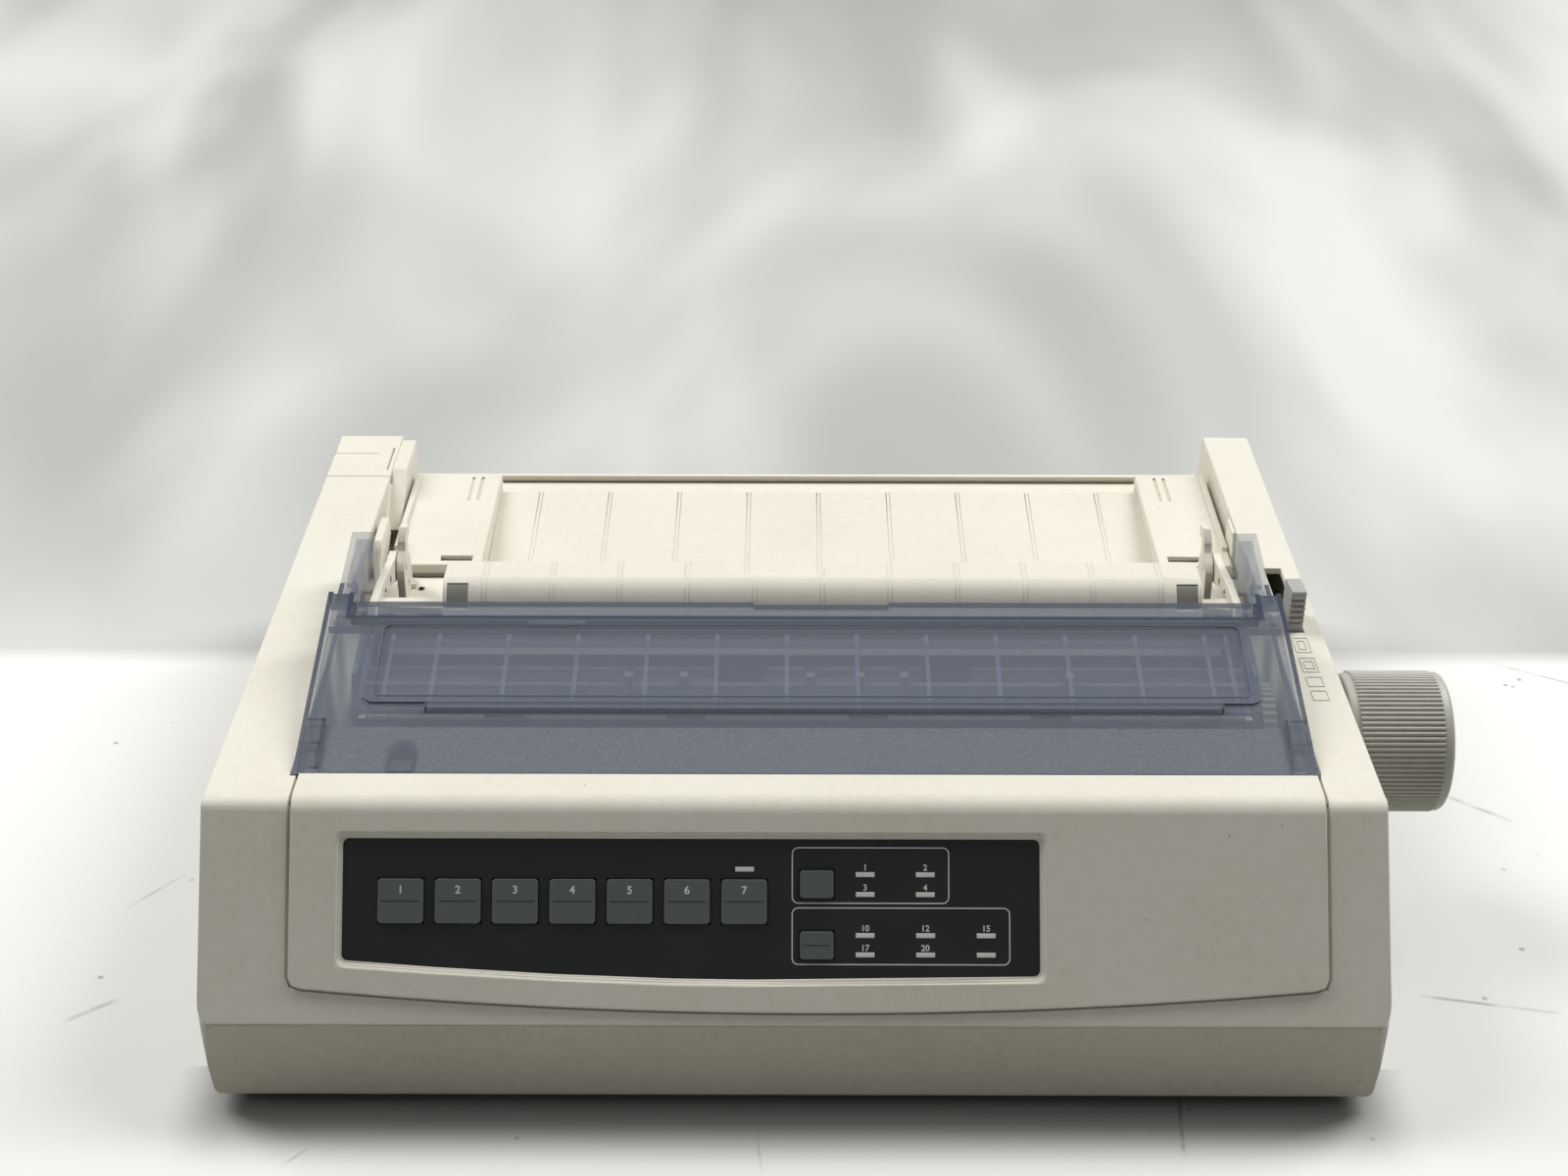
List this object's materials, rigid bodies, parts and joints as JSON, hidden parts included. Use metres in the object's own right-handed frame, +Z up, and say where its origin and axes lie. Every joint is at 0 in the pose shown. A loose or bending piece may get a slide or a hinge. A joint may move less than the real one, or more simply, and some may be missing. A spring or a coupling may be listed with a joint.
{
  "type": "dot matrix printer",
  "caption": "Desktop impact printer with hinged smoke-clear cover, grooved separator, sheet table with sliding guides, platen knob and key panel.",
  "frame": {"origin": "centre of the bounding box at the table, knob included", "axes": "+X to the right along the width, +Y to the back, +Z up; the front face and keys look towards -Y"},
  "size_m": [0.437, 0.345, 0.1225],
  "materials": {
    "beige_case": "fine grained",
    "beige_base": "fine grained",
    "zinc_sheet": "zinc plated sheet",
    "black_rubber": "ground rubber",
    "bright_steel": "ground",
    "black_overlay": "printed film",
    "lamp_grey": "diffuser",
    "key_grey": "satin",
    "board_green": "solder mask",
    "smoke_clear": "clear tinted",
    "foam_grey": "open cell foam",
    "dark_plastic": "satin",
    "acetal": "moulded gear",
    "motor_steel": "satin",
    "knob_grey": "satin",
    "bail_steel": "satin",
    "port_metal": "plated"
  },
  "bodies": {
    "case": {"lower_case": "beige_base", "base_pan": "zinc_sheet", "rubber_feet": "black_rubber", "case_screws": "bright_steel", "upper_case": "beige_case", "rail_cap": "beige_case", "control_fascia": "beige_case", "control_panel": "black_overlay", "panel_lamps": "lamp_grey", "panel_board": "board_green", "rear_deck": "beige_case", "pivot_brackets": "beige_case", "feed_motor": "motor_steel", "side_frame_left": "zinc_sheet", "side_frame_right": "zinc_sheet", "pull_up_rods": "bright_steel", "pull_up_rollers": "black_rubber", "tear_bar": "smoke_clear", "tear_blade": "dark_plastic", "carriage_shaft": "bright_steel", "guide_rail": "zinc_sheet", "drive_belt": "black_rubber", "tension_bracket": "zinc_sheet", "carriage_motor": "motor_steel", "main_board": "board_green", "transformer": "motor_steel", "power_inlet": "dark_plastic", "data_port": "port_metal", "switch_body": "dark_plastic"},
    "cover": {"access_cover": "smoke_clear", "cover_foam": "foam_grey"},
    "separator": {"separator_bar": "beige_case", "bar_windows": "dark_plastic"},
    "table": {"sheet_table": "beige_case"},
    "guide_left": {"sheet_guide_left": "beige_case"},
    "guide_right": {"sheet_guide_right": "beige_case"},
    "platen_set": {"platen": "black_rubber", "platen_shaft": "bright_steel", "platen_gear": "acetal", "knob": "knob_grey"},
    "idler": {"idler_gear": "acetal"},
    "pinion": {"motor_pinion": "bright_steel"},
    "bail": {"paper_bail": "bail_steel", "bail_rollers": "black_rubber"},
    "carriage_set": {"carriage": "dark_plastic", "print_head": "motor_steel", "ribbon_cartridge": "dark_plastic"},
    "belt_driver": {"drive_pulley": "acetal"},
    "belt_tensioner": {"tension_pulley": "acetal"},
    "lever": {"paper_lever": "knob_grey"},
    "rocker": {"power_switch": "dark_plastic"},
    "button_1": {"key_1": "key_grey"},
    "button_2": {"key_2": "key_grey"},
    "button_3": {"key_3": "key_grey"},
    "button_4": {"key_4": "key_grey"},
    "button_5": {"key_5": "key_grey"},
    "button_6": {"key_6": "key_grey"},
    "button_7": {"key_7": "key_grey"},
    "button_8": {"key_8": "key_grey"},
    "button_9": {"key_9": "key_grey"}
  },
  "joints": [
    {"name": "cover_hinge", "type": "hinge", "parent": "case", "child": "cover", "pos_m": [-0.0195, 0.02, 0.096], "axis": [-1, 0, 0], "range_deg": [0, 75]},
    {"name": "separator_hinge", "type": "hinge", "parent": "case", "child": "separator", "pos_m": [-0.0195, 0.035, 0.099], "axis": [-1, 0, 0], "range_deg": [0, 75]},
    {"name": "table_hinge", "type": "hinge", "parent": "case", "child": "table", "pos_m": [-0.0195, 0.056, 0.0828], "axis": [1, 0, 0], "range_deg": [0, 40]},
    {"name": "guide_left_slide", "type": "slide", "parent": "table", "child": "guide_left", "axis": [1, 0, 0], "range_m": [0, 0.025]},
    {"name": "guide_right_slide", "type": "slide", "parent": "table", "child": "guide_right", "axis": [-1, 0, 0], "range_m": [0, 0.025]},
    {"name": "platen_spin", "type": "hinge", "parent": "case", "child": "platen_set", "pos_m": [-0.0195, -0.051, 0.072], "axis": [1, 0, 0], "continuous": true},
    {"name": "idler_spin", "type": "hinge", "parent": "case", "child": "idler", "pos_m": [-0.0195, -0.0345, 0.04342], "axis": [1, 0, 0], "continuous": true},
    {"name": "pinion_spin", "type": "hinge", "parent": "case", "child": "pinion", "pos_m": [-0.0195, -0.02248, 0.0314], "axis": [1, 0, 0], "continuous": true},
    {"name": "bail_hinge", "type": "hinge", "parent": "case", "child": "bail", "pos_m": [-0.0195, -0.035, 0.084], "axis": [-1, 0, 0], "range_deg": [0, 10]},
    {"name": "carriage_slide", "type": "slide", "parent": "case", "child": "carriage_set", "axis": [1, 0, 0], "range_m": [-0.1, 0.1]},
    {"name": "belt_driver_spin", "type": "hinge", "parent": "case", "child": "belt_driver", "pos_m": [-0.1595, -0.109, 0.029], "axis": [0, 0, 1], "range_deg": [-660, 660]},
    {"name": "belt_tensioner_spin", "type": "hinge", "parent": "case", "child": "belt_tensioner", "pos_m": [0.1305, -0.109, 0.029], "axis": [0, 0, 1], "range_deg": [-660, 660]},
    {"name": "paper_lever_hinge", "type": "hinge", "parent": "case", "child": "lever", "pos_m": [0.16935, 0.005, 0.037], "axis": [-1, 0, 0], "range_deg": [0, 29]},
    {"name": "key_1_press", "type": "slide", "parent": "case", "child": "button_1", "axis": [0, 0.831, -0.5562], "range_m": [0, 0.0005], "stiffness_N_per_m": 900},
    {"name": "key_2_press", "type": "slide", "parent": "case", "child": "button_2", "axis": [0, 0.831, -0.5562], "range_m": [0, 0.0005], "stiffness_N_per_m": 900},
    {"name": "key_3_press", "type": "slide", "parent": "case", "child": "button_3", "axis": [0, 0.831, -0.5562], "range_m": [0, 0.0005], "stiffness_N_per_m": 900},
    {"name": "key_4_press", "type": "slide", "parent": "case", "child": "button_4", "axis": [0, 0.831, -0.5562], "range_m": [0, 0.0005], "stiffness_N_per_m": 900},
    {"name": "key_5_press", "type": "slide", "parent": "case", "child": "button_5", "axis": [0, 0.831, -0.5562], "range_m": [0, 0.0005], "stiffness_N_per_m": 900},
    {"name": "key_6_press", "type": "slide", "parent": "case", "child": "button_6", "axis": [0, 0.831, -0.5562], "range_m": [0, 0.0005], "stiffness_N_per_m": 900},
    {"name": "key_7_press", "type": "slide", "parent": "case", "child": "button_7", "axis": [0, 0.831, -0.5562], "range_m": [0, 0.0005], "stiffness_N_per_m": 900},
    {"name": "key_8_press", "type": "slide", "parent": "case", "child": "button_8", "axis": [0, 0.831, -0.5562], "range_m": [0, 0.0005], "stiffness_N_per_m": 900},
    {"name": "key_9_press", "type": "slide", "parent": "case", "child": "button_9", "axis": [0, 0.831, -0.5562], "range_m": [0, 0.0005], "stiffness_N_per_m": 900},
    {"name": "power_rocker", "type": "hinge", "parent": "case", "child": "rocker", "pos_m": [0.1735, 0.118, 0.022], "axis": [0, 0, 1], "range_deg": [-14, 0]}
  ],
  "couplings": [
    {"joint": "idler_spin", "follows": "platen_spin", "ratio": -1.75},
    {"joint": "pinion_spin", "follows": "platen_spin", "ratio": 4.2},
    {"joint": "belt_driver_spin", "follows": "carriage_slide", "rad_per_m": -112.36},
    {"joint": "belt_tensioner_spin", "follows": "carriage_slide", "rad_per_m": -112.36}
  ]
}
